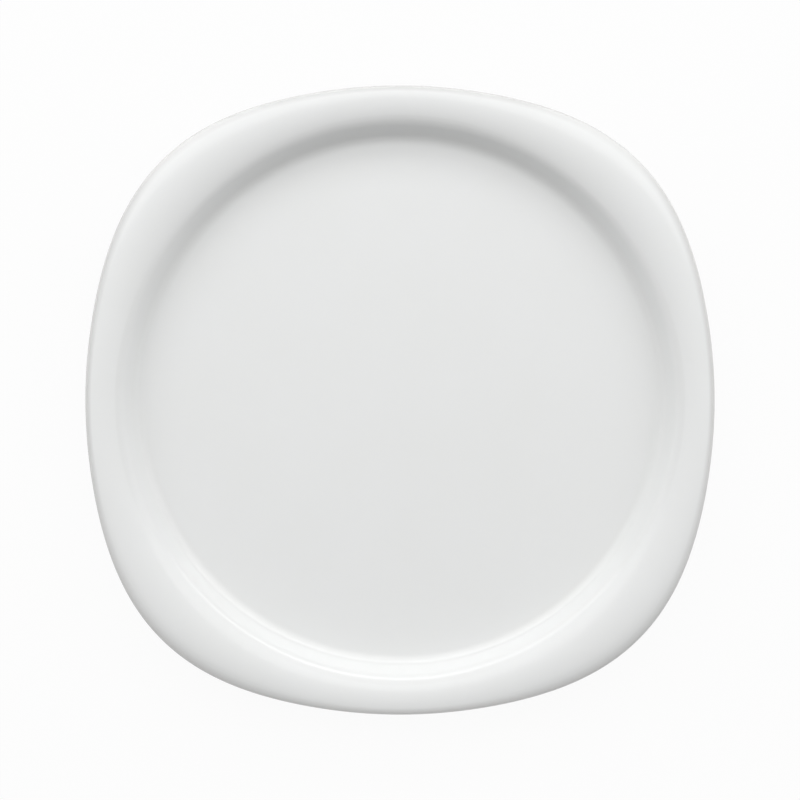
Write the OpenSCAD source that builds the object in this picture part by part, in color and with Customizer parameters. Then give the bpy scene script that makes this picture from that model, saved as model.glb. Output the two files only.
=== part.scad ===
// Glazed porcelain serving platter: a round well inside a rounded-square rim.
// +Z is up, the origin is at the centre of the standing face, and sizes are in millimetres.
// Sizes of the platter are those of the finished, glazed surface.

/* [Outline] */
// Width across two opposite sides
side_w = 320; // [240:1:400]
// How far each corner reaches past the circle through the middles of the sides
corner_out = 11.9; // [4:0.1:20]
// How far the outline is drawn in half way between a side and a corner
flank_draw = 1.2; // [0:0.1:2]

/* [Rim] */
// Width of the rim on the sides, from the shoulder of the well to the lip
rim_w = 16.6; // [12:0.1:24]
// Slope at which the crown of the rim starts, at the shoulder of the well
inner_slope = 24; // [18:1:30]
// Slope at which the crown passes its top and rolls over
outer_slope = 4.5; // [2:0.5:8]
// Slope to which the rim rolls over before its lip, in the middle of a side
lip_slope_side = 16; // [10:1:20]
// Slope to which the rim rolls over before its lip, at a corner
lip_slope_corner = 29; // [20:1:36]
// Radius under the roll, in the middle of a side
under_roll_r_side = 7; // [2:0.5:10]
// Radius under the roll, at a corner
under_roll_r_corner = 12.5; // [4:0.5:20]
// Radius of the upper edge of the lip
lip_edge_r = 2; // [1:0.1:2.6]

/* [Well] */
// Depth of the well floor below the top of the rim, in the middle of a side
well_depth = 14.3; // [12:0.1:22]
// Slope of the well wall
wall_slope = 58; // [48:1:66]
// Radius of the cove between the well floor and the wall
cove_r = 6; // [5:0.5:11]
// Radius under the rim where the wall turns into the rim
under_shoulder_r = 2; // [1:0.25:4]

/* [Thickness] */
// Thickness of the platter, glaze on both faces included
platter_t = 6; // [4.5:0.25:8]
// Thickness of one coat of glaze
glaze_t = 0.3; // [0.15:0.05:0.5]

/* [Foot] */
// Height of the foot ring below the unglazed body
foot_h = 4; // [3:0.25:7]
// Width of the flat face that the platter stands on
foot_face_w = 3.5; // [2:0.25:6]
// Distance of the middle of the foot ring inside the edge of the well floor
foot_inset = 14; // [9:0.5:40]
// Radius on the two lower edges of the foot ring
foot_edge_r = 1.2; // [0.6:0.1:1.6]
// Lean of the two sides of the foot ring
foot_lean = 14; // [4:1:24]
// Height above the standing face at which the glaze stops
glaze_line = 2; // [1.75:0.05:2.5]

/* [Hidden] */
$fn = 96;

porcelain_white = [0.86, 0.85, 0.82];
glaze_white = [0.90, 0.91, 0.90];

// Facets round the platter, and steps along each arc of its section
facets = 72;
cove_steps = 3;
shoulder_steps = 3;
crown_steps = 5;
roll_steps = 3;
lip_steps = 3;

// Heights of the undersides and of the well floor
under_z = foot_h - glaze_t;
floor_z = under_z + platter_t;

// Radius of the shoulder of the well on its upper face
shoulder_r = under_shoulder_r + platter_t;

// Share of the way from the middle of a side, 0, to a corner, 1
function corner_share(a) = pow(sin(2 * a), 2);

// Reach of the lip from the centre: the sides and corners joined by a sine, drawn in between them
function lip_reach(a) =
    let (u = corner_share(a))
    side_w / 2 + corner_out * u - 4 * flank_draw * u * (1 - u);

// Slope of the lip and radius of the roll, each between its value on a side and its value at a corner
function at_angle(a, side, corner) = side + (corner - side) * corner_share(a);
function lip_slope(a) = at_angle(a, lip_slope_side, lip_slope_corner);
function roll_r(a) = at_angle(a, under_roll_r_side, under_roll_r_corner) + platter_t;

// A step of length d along the upward normal of a surface that rises outwards at a slope
function along_normal(slope, d) = d * [-sin(slope), cos(slope)];

// The rim is a crown, a roll and a lip, each an arc. The crown's radius follows from the width that the
// roll and the lip leave it.
shoulder_end_r = side_w / 2 - rim_w;
function lip_run(a) = lip_edge_r * (1 - sin(lip_slope(a)));
function roll_run(a) = roll_r(a) * (sin(lip_slope(a)) - sin(outer_slope));
function crown_run(a) = lip_reach(a) - lip_run(a) - roll_run(a) - shoulder_end_r;
function crown_r(a) = crown_run(a) / (sin(inner_slope) + sin(outer_slope));

// Radius of the lower edge of the lip, where its upright face runs into the underside
function lip_under_r(a) = (lip_run(a) + platter_t * sin(lip_slope(a))) / (1 + sin(lip_slope(a)));

// The section of the well is the same all round: a cove, a straight wall and a shoulder, worked out
// inwards from the rim and upwards from the floor. Points are [distance from the axis, height].
crown_rise = crown_r(0) * (1 - cos(inner_slope));
shoulder_rise = shoulder_r * (cos(inner_slope) - cos(wall_slope));
shoulder_run = shoulder_r * (sin(wall_slope) - sin(inner_slope));
cove_rise = cove_r * (1 - cos(wall_slope));
cove_run = cove_r * sin(wall_slope);
wall_rise = well_depth - crown_rise - shoulder_rise - cove_rise;
wall_run = wall_rise / tan(wall_slope);
floor_r = shoulder_end_r - shoulder_run - wall_run - cove_run;

// Centres of the arcs, from the floor outwards
cove_centre = [floor_r, floor_z + cove_r];
wall_top = [floor_r + cove_run + wall_run, floor_z + cove_rise + wall_rise];
shoulder_centre = wall_top - along_normal(wall_slope, shoulder_r);
shoulder_end = shoulder_centre + along_normal(inner_slope, shoulder_r);
function crown_centre(a) = shoulder_end - along_normal(inner_slope, crown_r(a));
function roll_centre(a) = crown_centre(a) + along_normal(-outer_slope, crown_r(a) - roll_r(a));
function lip_centre(a) = roll_centre(a) + along_normal(-lip_slope(a), roll_r(a) - lip_edge_r);
function lip_under_centre(a) =
    roll_centre(a) + along_normal(-lip_slope(a), roll_r(a) - platter_t + lip_under_r(a));

// An arc between two slopes. Its radius is positive over a crest and negative in a hollow.
function arc(centre, r, from, to, steps) =
    [for (i = [0 : steps]) centre + along_normal(from + (to - from) * i / steps, r)];

function without_first(list) = [for (i = [1 : len(list) - 1]) list[i]];
function reversed(list) = [for (i = [len(list) - 1 : -1 : 0]) list[i]];

// The section from the edge of the floor to the start of the lip, a given depth under the upper face
function run_out(a, depth) = concat(
    arc(cove_centre, -cove_r - depth, 0, wall_slope, cove_steps),
    arc(shoulder_centre, shoulder_r - depth, wall_slope, inner_slope, shoulder_steps),
    without_first(arc(crown_centre(a), crown_r(a) - depth, inner_slope, -outer_slope, crown_steps)),
    without_first(arc(roll_centre(a), roll_r(a) - depth, -outer_slope, -lip_slope(a), roll_steps)));
function run_in(a, depth) = reversed(run_out(a, depth));

// The lip from the roll to the top of its upright face, and from there to the underside, a given depth in
upright = -90;
function lip_top(a, depth) = lip_centre(a) + along_normal(upright, lip_edge_r - depth);
function upper_lip(a, depth) = arc(lip_centre(a), lip_edge_r - depth, -lip_slope(a), upright, lip_steps);
function lower_lip(a, depth) = concat(
    [lip_top(a, depth)],
    arc(lip_under_centre(a), lip_under_r(a) - depth, upright, -180 - lip_slope(a), lip_steps));

// Foot ring: middle of its standing face, and where its sides meet the rounded lower edges
foot_r = floor_r - foot_inset;
foot_edge_x = foot_face_w / 2 + foot_edge_r * cos(foot_lean);
foot_edge_z = foot_edge_r * (1 - sin(foot_lean));
// Half width of the foot ring at a height
function foot_half(z) = foot_edge_x + (z - foot_edge_z) * tan(foot_lean);

// The corners of a flat-sided ring lie outside the true circle, so that its flats clear the foot ring
ring_clear = 1 / cos(180 / facets);
function foot_side(z, out) = [(foot_r + foot_half(z) + out) * ring_clear, z];

// Sections of the faceted pieces at an angle, each listed from the upper face outwards and down
function body_section(a) = concat(
    run_out(a, glaze_t),
    without_first(upper_lip(a, glaze_t)),
    without_first(lower_lip(a, glaze_t)),
    without_first(run_in(a, platter_t - glaze_t)));

function face_glaze_section(a) = concat(
    run_out(a, 0),
    without_first(upper_lip(a, 0)),
    reversed(upper_lip(a, glaze_t)),
    without_first(run_in(a, glaze_t)));

function underside_glaze_section(a) = concat(
    lower_lip(a, 0),
    without_first(run_in(a, platter_t)),
    [foot_side(under_z, glaze_t), foot_side(glaze_line, glaze_t)],
    [foot_side(glaze_line, 0), foot_side(foot_h, 0)],
    run_out(a, platter_t - glaze_t),
    without_first(reversed(lower_lip(a, glaze_t))));

// A solid skinned over sections that stand round the axis. Open sections are capped by their two flat
// ends, and closed ones are joined from their last point to their first.
module skin(sections, closed) {
    rings = len(sections[0]);
    points = [for (k = [0 : rings - 1], j = [0 : facets - 1])
        let (p = sections[j][k], a = 360 * j / facets)
        [p[0] * cos(a), p[0] * sin(a), p[1]]];
    joined = closed ? rings : rings - 1;
    sides = [for (k = [0 : joined - 1], j = [0 : facets - 1], half = [0, 1])
        let (
            here = k * facets,
            next = ((k + 1) % rings) * facets,
            j2 = (j + 1) % facets
        )
        half == 0 ? [here + j, here + j2, next + j2] : [here + j, next + j2, next + j]];
    first_cap = [for (j = [facets - 1 : -1 : 0]) j];
    last_cap = [for (j = [0 : facets - 1]) (rings - 1) * facets + j];
    polyhedron(points, closed ? sides : concat(sides, [first_cap, last_cap]), convexity = 6);
}

angles = [for (j = [0 : facets - 1]) 360 * j / facets];

// Fired porcelain: floor, wall and rim in one piece
module porcelain_body() {
    color(porcelain_white)
        skin([for (a = angles) body_section(a)], closed = false);
}

// Half of the foot ring's section, on one side of the middle of its standing face
module foot_half_section() {
    translate([foot_face_w / 2, foot_edge_r])
        circle(foot_edge_r);
    square([foot_face_w / 2, foot_h]);
    polygon([
        [foot_face_w / 2, foot_edge_r],
        [foot_edge_x, foot_edge_z],
        [foot_half(foot_h), foot_h],
        [foot_face_w / 2, foot_h]
    ]);
}

// Ring that the platter stands on, bare and ground flat underneath
module foot_ring() {
    color(porcelain_white)
        rotate_extrude()
            translate([foot_r, 0]) {
                foot_half_section();
                mirror([1, 0])
                    foot_half_section();
            }
}

// Glaze over the well and the rim, as far as the top of the lip's upright face
module face_glaze() {
    color(glaze_white)
        skin([for (a = angles) face_glaze_section(a)], closed = false);
}

// Glaze from the lip, under the rim and the wall, to part way down the outside of the foot ring
module underside_glaze() {
    color(glaze_white)
        skin([for (a = angles) underside_glaze_section(a)], closed = true);
}

// Glaze under the floor inside the foot ring, and part way down the inside of the ring
module base_glaze() {
    color(glaze_white)
        rotate_extrude()
            polygon([
                [0, under_z],
                [foot_r - foot_half(under_z) - glaze_t, under_z],
                [foot_r - foot_half(glaze_line) - glaze_t, glaze_line],
                [foot_r - foot_half(glaze_line), glaze_line],
                [foot_r - foot_half(foot_h), foot_h],
                [0, foot_h]
            ]);
}

porcelain_body();
foot_ring();
face_glaze();
underside_glaze();
base_glaze();
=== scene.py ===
"""Looks of a white porcelain serving platter: a round well inside a rounded-square rim, glazed all over
apart from the ring that it stands on. Sizes are in millimetres until they go into a mesh. The paper, the
lamps and the camera are in metres."""
import math
import bpy
import numpy as np
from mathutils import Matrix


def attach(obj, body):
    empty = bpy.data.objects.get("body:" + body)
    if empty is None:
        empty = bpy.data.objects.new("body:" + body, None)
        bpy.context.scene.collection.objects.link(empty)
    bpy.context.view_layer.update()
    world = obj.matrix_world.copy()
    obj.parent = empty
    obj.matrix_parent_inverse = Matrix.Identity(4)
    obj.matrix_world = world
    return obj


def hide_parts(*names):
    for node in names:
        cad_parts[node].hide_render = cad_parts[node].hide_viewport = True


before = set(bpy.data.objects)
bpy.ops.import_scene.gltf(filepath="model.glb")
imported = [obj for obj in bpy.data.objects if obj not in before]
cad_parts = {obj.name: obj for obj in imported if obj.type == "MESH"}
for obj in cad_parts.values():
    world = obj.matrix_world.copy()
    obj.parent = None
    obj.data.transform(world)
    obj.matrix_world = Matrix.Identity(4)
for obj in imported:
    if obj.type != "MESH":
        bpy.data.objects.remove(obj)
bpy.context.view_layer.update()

MM = 0.001

# Outline and rim, as in the part's source
SIDE_W = 320.0
CORNER_OUT = 11.9
FLANK_DRAW = 1.2
RIM_W = 16.6
INNER_SLOPE = math.radians(24)
OUTER_SLOPE = math.radians(4.5)
LIP_SLOPE_SIDE = math.radians(16)
LIP_SLOPE_CORNER = math.radians(29)
UNDER_ROLL_R_SIDE = 7.0
UNDER_ROLL_R_CORNER = 12.5
LIP_EDGE_R = 2.0

# Well and thickness
WELL_DEPTH = 14.3
WALL_SLOPE = math.radians(58)
COVE_R = 6.0
UNDER_SHOULDER_R = 2.0
PLATTER_T = 6.0
GLAZE_T = 0.3

# Foot ring
FOOT_H = 4.0
FOOT_FACE_W = 3.5
FOOT_INSET = 14.0
FOOT_EDGE_R = 1.2
FOOT_LEAN = math.radians(14)
GLAZE_LINE = 2.0

# Glaze softens every change of curvature over this length, and fills the corner of the foot to this radius.
# The section starts a little inside the edge of the floor, so that the cove's softened start fits.
SOFTNESS = 0.3
LEAD_RUN = 6 * SOFTNESS
FOOT_FILLET_R = 1.2

# Molten glaze gathers in hollows and draws thin over edges. The share of gathered glaze is 0.5 on a flat
# face, and follows how far the section turns within this reach on either side of a point. Towards the
# lip it falls to nothing over its own reach, which is longer at the corners. At the lowest shares the
# colour is greyed as painted shade, on the lip and on the rounded glaze stop at the foot.
GATHER_REACH = 4.0
LIP_SHADE_REACH_SIDE = 2.4
LIP_SHADE_REACH_CORNER = 5.0
THIN_COAT_SHADED = 0.0
CREST_COAT = 0.2
EVEN_COAT = 0.5
FILLET_COAT = 0.9
FULL_COAT = 1.0

# Points round the platter, and along each stretch of its section
ROUND_POINTS = 360
FLOOR_RINGS = 8
LEAD_POINTS = 6
COVE_POINTS = 16
WALL_POINTS = 8
SHOULDER_POINTS = 16
CROWN_POINTS = 18
ROLL_POINTS = 10
LIP_POINTS = 12
FOOT_ARC_POINTS = 8

# Slope of the lip's upright face
UPRIGHT = -math.pi / 2

round_angle = np.arange(ROUND_POINTS) * 2 * math.pi / ROUND_POINTS
corner_share = np.sin(2 * round_angle) ** 2


def between(side, corner):
    """A size that goes from its value on the sides to its value at the corners, by the share sin^2 of
    twice the angle."""
    return side + (corner - side) * corner_share


# Derived sizes of the section, named as in the part's source. Those of the rim have one value per angle.
half_t = PLATTER_T / 2
under_z = FOOT_H - GLAZE_T
floor_z = under_z + PLATTER_T
shoulder_r = UNDER_SHOULDER_R + PLATTER_T
shoulder_end_r = SIDE_W / 2 - RIM_W
lip_reach = between(SIDE_W / 2, SIDE_W / 2 + CORNER_OUT) - 4 * FLANK_DRAW * corner_share * (1 - corner_share)
lip_slope = between(LIP_SLOPE_SIDE, LIP_SLOPE_CORNER)
lip_run = LIP_EDGE_R * (1 - np.sin(lip_slope))
roll_r = between(UNDER_ROLL_R_SIDE, UNDER_ROLL_R_CORNER) + PLATTER_T
roll_run = roll_r * (np.sin(lip_slope) - math.sin(OUTER_SLOPE))
crown_run = lip_reach - lip_run - roll_run - shoulder_end_r
crown_r = crown_run / (math.sin(INNER_SLOPE) + math.sin(OUTER_SLOPE))
crown_rise = crown_r[0] * (1 - math.cos(INNER_SLOPE))
shoulder_rise = shoulder_r * (math.cos(INNER_SLOPE) - math.cos(WALL_SLOPE))
shoulder_run = shoulder_r * (math.sin(WALL_SLOPE) - math.sin(INNER_SLOPE))
cove_rise = COVE_R * (1 - math.cos(WALL_SLOPE))
cove_run = COVE_R * math.sin(WALL_SLOPE)
wall_rise = WELL_DEPTH - crown_rise - shoulder_rise - cove_rise
wall_run = wall_rise / math.tan(WALL_SLOPE)
floor_r = shoulder_end_r - shoulder_run - wall_run - cove_run
foot_r = floor_r - FOOT_INSET


def soft_ramp(length, start, end):
    """A ramp from 0 at start to 1 at end whose corners are rounded over SOFTNESS: the integral of two
    logistic steps, so its rate of rise is a box with softened ends."""
    rise = np.logaddexp(0, (length - start) / SOFTNESS) - np.logaddexp(0, (length - end) / SOFTNESS)
    return rise * SOFTNESS / (end - start)


def middle_section():
    """The line half way through the thickness, from the flat floor to the start of the lip. Its slope is
    the sum of the turns of the cove, the shoulder, the crown and the roll, each a softened ramp along its
    length, and its points are the running sums of the slope's cosine and sine. Returns distance from the
    axis, height, slope, the share of gathered glaze on the upper face and how much of it is left near the
    lip, each with one row per point and one column per angle."""
    stretches = [
        (LEAD_POINTS, LEAD_RUN, 0),
        (COVE_POINTS, (COVE_R + half_t) * WALL_SLOPE, WALL_SLOPE),
        (WALL_POINTS, wall_rise / math.sin(WALL_SLOPE), 0),
        (SHOULDER_POINTS, (shoulder_r - half_t) * (WALL_SLOPE - INNER_SLOPE), INNER_SLOPE - WALL_SLOPE),
        (CROWN_POINTS, (crown_r - half_t) * (INNER_SLOPE + OUTER_SLOPE), -INNER_SLOPE - OUTER_SLOPE),
        (ROLL_POINTS, (roll_r - half_t) * (lip_slope - OUTER_SLOPE), OUTER_SLOPE - lip_slope),
    ]
    stretches = [(points, np.full(ROUND_POINTS, run), turn) for points, run, turn in stretches]
    starts = np.cumsum([np.zeros(ROUND_POINTS)] + [run for _, run, _ in stretches], axis=0)
    steps = [
        start + np.linspace(0, 1, points, endpoint=False)[:, None] * run
        for start, (points, run, _) in zip(starts, stretches)
    ]
    along = np.concatenate(steps + [starts[-1:]])

    def slope_at(length):
        turns = [
            turn * soft_ramp(length, start, start + run)
            for start, (_, run, turn) in zip(starts, stretches)
        ]
        return sum(turns)

    step = np.diff(along, axis=0)
    step_slope = slope_at((along[1:] + along[:-1]) / 2)
    start_row = np.zeros((1, ROUND_POINTS))
    r = floor_r - LEAD_RUN + np.cumsum(np.concatenate([start_row, step * np.cos(step_slope)]), axis=0)
    z = floor_z - half_t + np.cumsum(np.concatenate([start_row, step * np.sin(step_slope)]), axis=0)
    slope = slope_at(along)
    end_r = lip_reach - LIP_EDGE_R + (half_t - LIP_EDGE_R) * np.sin(slope[-1])
    r = r + (end_r - r[-1]) * along / along[-1]
    turn_nearby = slope_at(along + GATHER_REACH) - slope_at(along - GATHER_REACH)
    gather = EVEN_COAT * (1 + np.tanh(turn_nearby))
    # Painted shade: towards the lip the share falls to the thin coat's, which greys the glaze colour there
    left = np.clip((along[-1] - along) / between(LIP_SHADE_REACH_SIDE, LIP_SHADE_REACH_CORNER), 0, 1)
    return r, z, slope, gather, left


section_r, section_z, section_slope, section_gather, clear_of_lip_shade = middle_section()


def face_at(depth):
    """The upper face's parallel curve, a depth under it: the middle line moved along its own normal. Below
    the middle, hollows are where the upper face has crests, so the share of gathered glaze is turned
    round."""
    out = half_t - depth
    gather = section_gather if out > 0 else 2 * EVEN_COAT - section_gather
    r = section_r - out * np.sin(section_slope)
    z = section_z + out * np.cos(section_slope)
    return r, z, gather * clear_of_lip_shade


def lip_arc(radius, offset, depth, first, last):
    """An arc of the lip, a depth under its surface, between two slopes. Its centre is offset from the end of
    the middle line along the normal there. Points lie closer together towards both ends of the arc."""
    share = (1 - np.cos(np.linspace(0, math.pi, LIP_POINTS + 1)))[:, None] / 2
    slope = first + (last - first) * share
    centre_r = section_r[-1] - offset * np.sin(section_slope[-1])
    centre_z = section_z[-1] + offset * np.cos(section_slope[-1])
    r = centre_r - (radius - depth) * np.sin(slope)
    z = centre_z + (radius - depth) * np.cos(slope)
    # The whole lip takes the thin coat's share, and so the grey of the painted shade
    return r, z, np.full_like(r, THIN_COAT_SHADED)


def upper_lip(depth):
    """The round upper edge of the lip, from the rim to the top of its upright face."""
    return lip_arc(LIP_EDGE_R, half_t - LIP_EDGE_R, depth, section_slope[-1], UPRIGHT)


def lower_lip(depth):
    """The upright face and the round lower edge of the lip. The edge's radius is the one that touches both
    the upright face and the underside."""
    steepness = np.sin(section_slope[-1])
    radius = (LIP_EDGE_R * (1 + steepness) - PLATTER_T * steepness) / (1 - steepness)
    edge = lip_arc(radius, radius - half_t, depth, UPRIGHT, section_slope[-1] - math.pi)
    top = tuple(grid[-1:] for grid in upper_lip(depth))
    return joined(top, edge)


def flat_rings(edge_r, height):
    """Rings on a flat round face, from near its centre to just inside its edge, evenly spaced."""
    share = np.arange(1, FLOOR_RINGS) / FLOOR_RINGS
    return revolved(np.stack([share * edge_r, np.full_like(share, height)], axis=1))


def joined(*stretches):
    """Stretches of a section, each a set of grids, put end to end."""
    return tuple(np.concatenate(grids) for grids in zip(*stretches))


def backwards(stretch):
    """The same stretch from its other end."""
    return tuple(grid[::-1] for grid in stretch)


def past_first(stretch):
    """A stretch without its first row, where it starts on the last point of another."""
    return tuple(grid[1:] for grid in stretch)


def revolved(points, gather=EVEN_COAT):
    """A section of plain points, the same at every angle, with their share of gathered glaze."""
    r, z = np.asarray(points, float).T
    grids = (r, z, np.broadcast_to(gather, r.shape))
    return tuple(np.repeat(value[:, None], ROUND_POINTS, axis=1) for value in grids)


def arc(centre, radius, start, end):
    """Points on an arc about a centre, between two angles from the outward direction."""
    angle = np.linspace(start, end, FOOT_ARC_POINTS + 1)
    return np.stack([centre[0] + radius * np.cos(angle), centre[1] + radius * np.sin(angle)], axis=1)


def skin(name, section, closed=False, corners=()):
    """A solid swept round the axis from a section: point (row, column) is (r cos a, r sin a, z), with a the
    column's angle. Rows join in quads, a closed section joins its last row to its first, and an open one
    ends in a fan round a centre point at either end. Rows listed as corners keep a sharp edge, and each
    point keeps its share of gathered glaze."""
    r, z, gather = section
    gather = gather.ravel()
    rows = len(r)
    points = np.stack([r * np.cos(round_angle), r * np.sin(round_angle), z], axis=-1).reshape(-1, 3)
    index = np.arange(rows * ROUND_POINTS).reshape(rows, ROUND_POINTS)
    index_ahead = np.roll(index, -1, axis=1)
    if closed:
        quads = [index, np.roll(index, -1, axis=0), np.roll(index_ahead, -1, axis=0), index_ahead]
    else:
        quads = [index[:-1], index[1:], index_ahead[1:], index_ahead[:-1]]
    faces = np.stack(quads, axis=-1).reshape(-1, 4).tolist()
    if not closed:
        first = np.full(ROUND_POINTS, len(points))
        last = first + 1
        points = np.concatenate([points, [[0, 0, z[0, 0]], [0, 0, z[-1, 0]]]])
        gather = np.append(gather, [EVEN_COAT, EVEN_COAT])
        faces += np.stack([first, index[0], index_ahead[0]], axis=1).tolist()
        faces += np.stack([last, index_ahead[-1], index[-1]], axis=1).tolist()
    mesh = bpy.data.meshes.new(name)
    mesh.from_pydata((points * MM).tolist(), [], faces)
    mesh.shade_smooth()
    ends = np.empty(len(mesh.edges) * 2, dtype=np.int64)
    mesh.edges.foreach_get("vertices", ends)
    end_rows = ends.reshape(-1, 2) // ROUND_POINTS
    sharp = (end_rows[:, 0] == end_rows[:, 1]) & np.isin(end_rows[:, 0], corners)
    mesh.edges.foreach_set("use_edge_sharp", sharp)
    mesh.attributes.new("glaze_gather_and_lip_shade", "FLOAT", "POINT").data.foreach_set("value", gather)
    piece = bpy.data.objects.new(name, mesh)
    bpy.context.collection.objects.link(piece)
    return piece


def foot_half(height):
    """Half the width of the foot ring at a height, on its two leaning sides."""
    edge_x = FOOT_FACE_W / 2 + FOOT_EDGE_R * math.cos(FOOT_LEAN)
    edge_z = FOOT_EDGE_R * (1 - math.sin(FOOT_LEAN))
    return edge_x + (height - edge_z) * math.tan(FOOT_LEAN)


def foot_glaze_line(side):
    """Glaze from the flat underside round a fillet and down one side of the foot ring to a rounded stop.
    Side is 1 for the outside of the ring and -1 for its inside. The fillet is an arc that touches the
    underside and the leaning side, and the stop is a half round as thick as the coat. Returns the outer
    surface from the underside to the stop, and the seat against the ring from the stop upwards."""
    turn = math.pi / 2 - FOOT_LEAN
    corner_x = foot_half(under_z) + GLAZE_T / math.cos(FOOT_LEAN)
    tangent = FOOT_FILLET_R / math.tan((math.pi - turn) / 2)
    centre = (corner_x + tangent, under_z - FOOT_FILLET_R)
    fillet = arc(centre, FOOT_FILLET_R, math.pi / 2, math.pi / 2 + turn)
    normal = (math.cos(FOOT_LEAN), -math.sin(FOOT_LEAN))
    stop = (
        foot_half(GLAZE_LINE) + normal[0] * GLAZE_T / 2,
        GLAZE_LINE + normal[1] * GLAZE_T / 2,
    )
    bead = arc(stop, GLAZE_T / 2, -FOOT_LEAN, -FOOT_LEAN - math.pi)
    seat = np.array([[foot_half(FOOT_H), FOOT_H]])
    line = np.concatenate([fillet, bead, seat])
    # The rounded stop takes the thin coat's share, and so the same grey painted shade as the lip
    gather = np.repeat([FILLET_COAT, THIN_COAT_SHADED, EVEN_COAT], [len(fillet), len(bead), len(seat)])
    return revolved(np.stack([foot_r + side * line[:, 0], line[:, 1]], axis=1), gather)


def porcelain_body():
    """The fired body: the upper face one coat down, the lip, the lower face one coat up, and its flat
    base."""
    upper = joined(face_at(GLAZE_T), past_first(upper_lip(GLAZE_T)), past_first(lower_lip(GLAZE_T)))
    lower = past_first(backwards(face_at(PLATTER_T - GLAZE_T)))
    top_rings = flat_rings(upper[0][0, 0], floor_z - GLAZE_T)
    base_rings = flat_rings(lower[0][-1, 0], FOOT_H)
    return skin("porcelain_body_cast", joined(top_rings, upper, lower, backwards(base_rings)))


def face_glaze():
    """The coat on the upper face: out along its surface to the lip's upright face, and back along the
    body."""
    out = joined(face_at(0), past_first(upper_lip(0)))
    back = backwards(joined(face_at(GLAZE_T), past_first(upper_lip(GLAZE_T))))
    out_rings = flat_rings(out[0][0, 0], floor_z)
    back_rings = flat_rings(back[0][-1, 0], floor_z - GLAZE_T)
    edge = len(out_rings[0]) + len(out[0])
    section = joined(out_rings, out, back, backwards(back_rings))
    return skin("face_glaze_coat", section, corners=(edge - 1, edge))


def underside_glaze():
    """The coat under the rim: in from the lip's upright face along the lower face, down the outside of the
    foot ring and back along the body."""
    inwards = joined(lower_lip(0), past_first(backwards(face_at(PLATTER_T))))
    foot = foot_glaze_line(1)
    back_lip = backwards(lower_lip(GLAZE_T))
    outwards = joined(face_at(PLATTER_T - GLAZE_T), past_first(back_lip))
    section = joined(inwards, foot, outwards)
    rows = len(section[0])
    foot_top = len(inwards[0]) + len(foot[0]) - 1
    return skin("underside_glaze_coat", section, closed=True, corners=(0, foot_top, rows - 1))


def base_glaze():
    """The coat under the floor inside the foot ring: a flat face, a fillet and the inside of the ring."""
    foot = backwards(foot_glaze_line(-1))
    top_rings = flat_rings(foot[0][0, 0], FOOT_H)
    under_rings = flat_rings(foot[0][-1, 0], under_z)
    section = joined(top_rings, foot, backwards(under_rings))
    return skin("base_glaze_coat", section, corners=(len(top_rings[0]),))


def foot_ring():
    """The bare ring: two leaning sides joined to the flat standing face by round edges."""
    face_half = FOOT_FACE_W / 2
    outer_edge = arc((face_half, FOOT_EDGE_R), FOOT_EDGE_R, -FOOT_LEAN, -math.pi / 2)
    outer_side = np.concatenate([[[foot_half(FOOT_H), FOOT_H]], outer_edge])
    inner_side = (outer_side * [-1, 1])[::-1]
    line = np.concatenate([outer_side, inner_side]) + [foot_r, 0]
    return skin("foot_ring_ground", revolved(line), closed=True, corners=(0, len(line) - 1))


def linear(hex_colour):
    """Linear colour from an sRGB hex value, by the sRGB curve."""
    value = np.array([int(hex_colour[i:i + 2], 16) for i in (1, 3, 5)]) / 255
    curve = np.where(value <= 0.04045, value / 12.92, ((value + 0.055) / 1.055) ** 2.4)
    return (*curve, 1.0)


def add(tree, kind, inputs=None, **settings):
    """Adds a node with its settings, and with each input linked to a socket or set to a value."""
    node = tree.nodes.new(kind)
    for name, value in settings.items():
        setattr(node, name, value)
    for name, value in (inputs or {}).items():
        if isinstance(value, bpy.types.NodeSocket):
            tree.links.new(value, node.inputs[name])
        else:
            node.inputs[name].default_value = value
    return node


def new_material(name):
    """An empty node material, with its tree."""
    material = bpy.data.materials.new(name)
    material.use_nodes = True
    material.node_tree.nodes.clear()
    return material, material.node_tree


def per_metre(size):
    """Texture scale that gives features about this many millimetres wide."""
    return 1 / (size * MM)


# Sockets of a Mix node that blends colours, which share their names with its other sockets
SHARE = 0
FIRST = 6
SECOND = 7
BLEND = 2

PORCELAIN_IOR = 1.5

# Glazed porcelain: widths and rises of its clouding, its slow ripple and the fine peel of its surface, and
# width and bounds of its changes of roughness
CLOUD_W = 40.0
RIPPLE_W = 16.0
RIPPLE_RISE = 0.03
PEEL_W = 2.5
PEEL_RISE = 0.002
GLOSS_W = 9.0
SHINIEST = 0.06
DULLEST = 0.11


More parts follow.
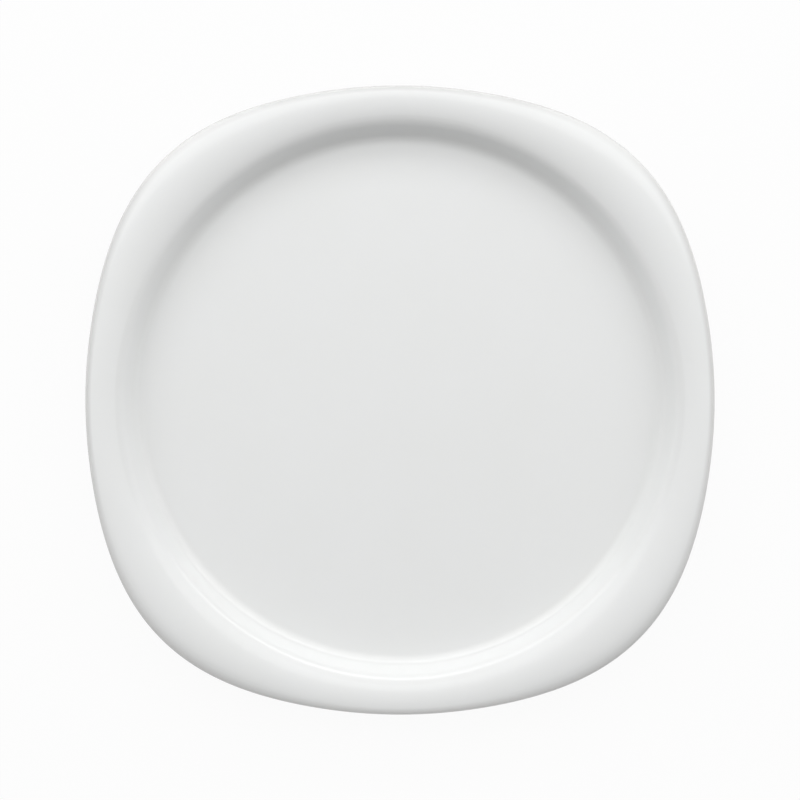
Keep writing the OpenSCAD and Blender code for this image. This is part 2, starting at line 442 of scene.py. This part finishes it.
def glazed_porcelain():
    """Clear feldspar glaze, poured on and fired to a glassy skin over white porcelain. The eye gets a cool
    near-white under a sharp gloss: a shade deeper where glaze has gathered in a hollow, and a slow ripple
    that bends the reflections a little. Over the lip, where the glaze draws thin, it is greyed by painted
    shade."""
    material, tree = new_material("fired_clear_glaze_on_porcelain")
    place = add(tree, "ShaderNodeTexCoord").outputs["Object"]
    gathered = add(tree, "ShaderNodeAttribute", attribute_name="glaze_gather_and_lip_shade").outputs["Fac"]
    cloud, gloss, ripple, peel = [
        add(tree, "ShaderNodeTexNoise", {"Vector": place, "Scale": per_metre(width), "Detail": detail})
        for width, detail in ((CLOUD_W, 3.0), (GLOSS_W, 2.0), (RIPPLE_W, 0.0), (PEEL_W, 1.0))
    ]
    lip_shade_to_crest, even_to_full = [
        add(tree, "ShaderNodeMapRange", {"Value": gathered, "From Min": low, "From Max": high})
        for low, high in ((THIN_COAT_SHADED, CREST_COAT), (EVEN_COAT, FULL_COAT))
    ]
    even = add(tree, "ShaderNodeMix", {
        SHARE: cloud.outputs["Fac"],
        FIRST: linear("#E5E6E6"),
        SECOND: linear("#E3E4E3"),
    }, data_type="RGBA")
    # Painted shade: towards the thin coat's share the colour goes to a grey #D2D2D1, over the lip and the
    # glaze stop at the foot
    lip_shaded = add(tree, "ShaderNodeMix", {
        SHARE: lip_shade_to_crest.outputs["Result"],
        FIRST: linear("#D2D2D1"),
        SECOND: even.outputs[BLEND],
    }, data_type="RGBA")
    colour = add(tree, "ShaderNodeMix", {
        SHARE: even_to_full.outputs["Result"],
        FIRST: lip_shaded.outputs[BLEND],
        SECOND: linear("#E2E3E2"),
    }, data_type="RGBA")
    roughness = add(tree, "ShaderNodeMapRange", {
        "Value": gloss.outputs["Fac"],
        "To Min": SHINIEST,
        "To Max": DULLEST,
    })
    rippled = add(tree, "ShaderNodeBump", {
        "Height": ripple.outputs["Fac"],
        "Distance": RIPPLE_RISE * MM,
    })
    peeled = add(tree, "ShaderNodeBump", {
        "Height": peel.outputs["Fac"],
        "Distance": PEEL_RISE * MM,
        "Normal": rippled.outputs["Normal"],
    })
    shader = add(tree, "ShaderNodeBsdfPrincipled", {
        "Base Color": colour.outputs[BLEND],
        "Roughness": roughness.outputs["Result"],
        "IOR": PORCELAIN_IOR,
        "Normal": peeled.outputs["Normal"],
    })
    add(tree, "ShaderNodeOutputMaterial", {"Surface": shader.outputs["BSDF"]})
    return material


# Bare porcelain: its grain is 0.1 to 0.2 mm and is drawn coarser to show, and so are the marks of grinding.
# The marks darken it where their noise is above this level.
GRAIN_W = 0.5
GRAIN_RISE = 0.03
MARK_W = 0.45
MARK_RISE = 0.03
MARK_LEVEL = 0.5
BUFF_W = 0.8
BARE_ROUGHNESS = 0.7


def ground_porcelain():
    """Porcelain fired without glaze and ground flat where it stands. The eye gets a dry, faintly warm white
    with a sandy grain, grinding marks that run round the ring, and a buff line where the glaze stops."""
    material, tree = new_material("fired_porcelain_ground_bare")
    place = add(tree, "ShaderNodeTexCoord").outputs["Object"]
    flat = add(tree, "ShaderNodeVectorMath", {0: place, 1: (1, 1, 0)}, operation="MULTIPLY")
    from_axis = add(tree, "ShaderNodeVectorMath", {0: flat.outputs[0]}, operation="LENGTH")
    height = add(tree, "ShaderNodeSeparateXYZ", {0: place})
    grain = add(tree, "ShaderNodeTexNoise", {
        "Vector": place,
        "Scale": per_metre(GRAIN_W),
        "Detail": 3.0,
    })
    marks = add(tree, "ShaderNodeTexNoise", {
        "W": from_axis.outputs["Value"],
        "Scale": per_metre(MARK_W),
        "Detail": 1.0,
    }, noise_dimensions="1D")
    marked = add(tree, "ShaderNodeMapRange", {
        "Value": marks.outputs["Fac"],
        "From Min": MARK_LEVEL,
        "From Max": 1.0,
    })
    by_glaze_line = add(tree, "ShaderNodeMapRange", {
        "Value": height.outputs["Z"],
        "From Min": (GLAZE_LINE - BUFF_W) * MM,
        "From Max": (GLAZE_LINE + BUFF_W) * MM,
    })
    dry = add(tree, "ShaderNodeMix", {
        SHARE: grain.outputs["Fac"],
        FIRST: linear("#D6D1C6"),
        SECOND: linear("#E3DFD6"),
    }, data_type="RGBA")
    ground = add(tree, "ShaderNodeMix", {
        SHARE: marked.outputs["Result"],
        FIRST: dry.outputs[BLEND],
        SECOND: linear("#B9B2A4"),
    }, data_type="RGBA")
    colour = add(tree, "ShaderNodeMix", {
        SHARE: by_glaze_line.outputs["Result"],
        FIRST: ground.outputs[BLEND],
        SECOND: linear("#CDBB9C"),
    }, data_type="RGBA")
    sandy = add(tree, "ShaderNodeBump", {
        "Height": grain.outputs["Fac"],
        "Distance": GRAIN_RISE * MM,
    })
    scored = add(tree, "ShaderNodeBump", {
        "Height": marks.outputs["Fac"],
        "Distance": MARK_RISE * MM,
        "Normal": sandy.outputs["Normal"],
    })
    shader = add(tree, "ShaderNodeBsdfPrincipled", {
        "Base Color": colour.outputs[BLEND],
        "Roughness": BARE_ROUGHNESS,
        "IOR": PORCELAIN_IOR,
        "Normal": scored.outputs["Normal"],
    })
    add(tree, "ShaderNodeOutputMaterial", {"Surface": shader.outputs["BSDF"]})
    return material


glaze = glazed_porcelain()
bare = ground_porcelain()
platter_pieces = bpy.data.collections.new("platter_pieces")

for piece, node, slot, material in (
    (porcelain_body(), "porcelain_body", "fired_porcelain", bare),
    (foot_ring(), "foot_ring", "fired_porcelain", bare),
    (face_glaze(), "face_glaze", "face_glaze", glaze),
    (underside_glaze(), "underside_glaze", "underside_glaze", glaze),
    (base_glaze(), "base_glaze", "underside_glaze", glaze),
):
    piece.data.materials.append(material)
    platter_pieces.objects.link(piece)
    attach(piece, "root")
    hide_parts(node)

# Stage: white paper that looks white to the camera and in reflections, and keeps a faint soft shadow
PAPER_W = 8.0
SHADOW_SHARE = 0.06
WHITE = linear("#FFFFFF")


def seen_directly(tree):
    """A factor of 1 for rays from the camera and for those that glossy or clear surfaces send on."""
    path = add(tree, "ShaderNodeLightPath")
    first = add(tree, "ShaderNodeMath", {
        0: path.outputs["Is Camera Ray"],
        1: path.outputs["Is Glossy Ray"],
    }, operation="MAXIMUM")
    either = add(tree, "ShaderNodeMath", {
        0: first.outputs[0],
        1: path.outputs["Is Transmission Ray"],
    }, operation="MAXIMUM")
    return either.outputs[0]


def white_paper():
    """Matte white paper: an even diffuse sheet, most of whose seen brightness is plain white."""
    material, tree = new_material("matte_white_paper")
    sheet = add(tree, "ShaderNodeBsdfDiffuse", {"Color": linear("#E0E0E0")})
    plain_white = add(tree, "ShaderNodeEmission", {"Color": WHITE, "Strength": 1.0})
    share = add(tree, "ShaderNodeMath", {
        0: seen_directly(tree),
        1: 1 - SHADOW_SHARE,
    }, operation="MULTIPLY")
    paper = add(tree, "ShaderNodeMixShader", {
        0: share.outputs[0],
        1: sheet.outputs[0],
        2: plain_white.outputs[0],
    })
    add(tree, "ShaderNodeOutputMaterial", {"Surface": paper.outputs[0]})
    return material


half_paper = PAPER_W / 2
paper_corners = [(x * half_paper, y * half_paper, 0) for x, y in ((-1, -1), (1, -1), (1, 1), (-1, 1))]
floor_mesh = bpy.data.meshes.new("paper_floor")
floor_mesh.from_pydata(paper_corners, [], [(0, 1, 2, 3)])
floor_mesh.materials.append(white_paper())
floor = bpy.data.objects.new("paper_floor", floor_mesh)
bpy.context.collection.objects.link(floor)

# Surround: an even white studio that fills the shadows and looks white
FILL_STRENGTH = 0.2
world = bpy.data.worlds.new("white_surround")
world.use_nodes = True
world_tree = world.node_tree
world_tree.nodes.clear()
fill = add(world_tree, "ShaderNodeBackground", {"Color": WHITE, "Strength": FILL_STRENGTH})
seen_white = add(world_tree, "ShaderNodeBackground", {"Color": WHITE, "Strength": 1.0})
surround = add(world_tree, "ShaderNodeMixShader", {
    0: seen_directly(world_tree),
    1: fill.outputs[0],
    2: seen_white.outputs[0],
})
add(world_tree, "ShaderNodeOutputWorld", {"Surface": surround.outputs[0]})
bpy.context.scene.world = world


def softbox(name, azimuth, elevation, distance, width, height, power, mirrored=True):
    """A rectangular lamp that faces the platter from an azimuth, counted from +Y clockwise seen from above,
    and an elevation, both in degrees. Its size is in metres and its power in watts. One that isn't mirrored
    is kept out of the reflections."""
    lamp = bpy.data.lights.new(name, "AREA")
    lamp.shape = "RECTANGLE"
    lamp.size = width
    lamp.size_y = height
    lamp.energy = power
    holder = bpy.data.objects.new(name, lamp)
    round_turn = math.radians(azimuth)
    rise = math.radians(elevation)
    holder.location = (
        distance * math.sin(round_turn) * math.cos(rise),
        distance * math.cos(round_turn) * math.cos(rise),
        distance * math.sin(rise),
    )
    holder.rotation_euler = (rise - math.pi / 2, 0, -round_turn)
    holder.visible_glossy = mirrored
    bpy.context.collection.objects.link(holder)
    return holder


# Studio light: a low strip and a high softbox behind the platter, a panel on either side, which fills the
# walls of the well, a softbox overhead, and a faint strip in front, which fills the lip and lights no paper
LAMP_FAR = 1.6
LAMP_NEAR = 0.27
softbox("back_low_strip", 0, 28, LAMP_FAR, 3.8, 0.5, 16.8)
softbox("back_high_softbox", 0, 58, LAMP_FAR, 2.8, 1.0, 9.2)
softbox("right_side_panel", 75, 24, LAMP_FAR, 1.6, 1.2, 9.5, mirrored=False)
softbox("left_side_panel", -75, 24, LAMP_FAR, 1.6, 1.2, 9.5, mirrored=False)
softbox("overhead_softbox", 0, 90, LAMP_FAR, 1.8, 1.8, 4.8)
front_strip = softbox("front_low_strip", 180, 2, LAMP_NEAR, 0.3, 0.02, 0.08, mirrored=False)
front_strip.light_linking.receiver_collection = platter_pieces

# Camera: straight above, framed so that the platter is as wide as in the photograph
LENS = 100.0
SENSOR = 36.0
FRAME_PX = 800
SIDE_PX = 628.8
lip_z = section_z[-1, 0]
camera_far = SIDE_W * FRAME_PX / SIDE_PX * LENS / SENSOR
camera_data = bpy.data.cameras.new("overhead_camera")
camera_data.lens = LENS
camera_data.sensor_width = SENSOR
camera = bpy.data.objects.new("overhead_camera", camera_data)
camera.location = (0, 0, (lip_z + camera_far) * MM)
bpy.context.collection.objects.link(camera)
bpy.context.scene.camera = camera

bpy.context.scene.view_settings.view_transform = "Standard"
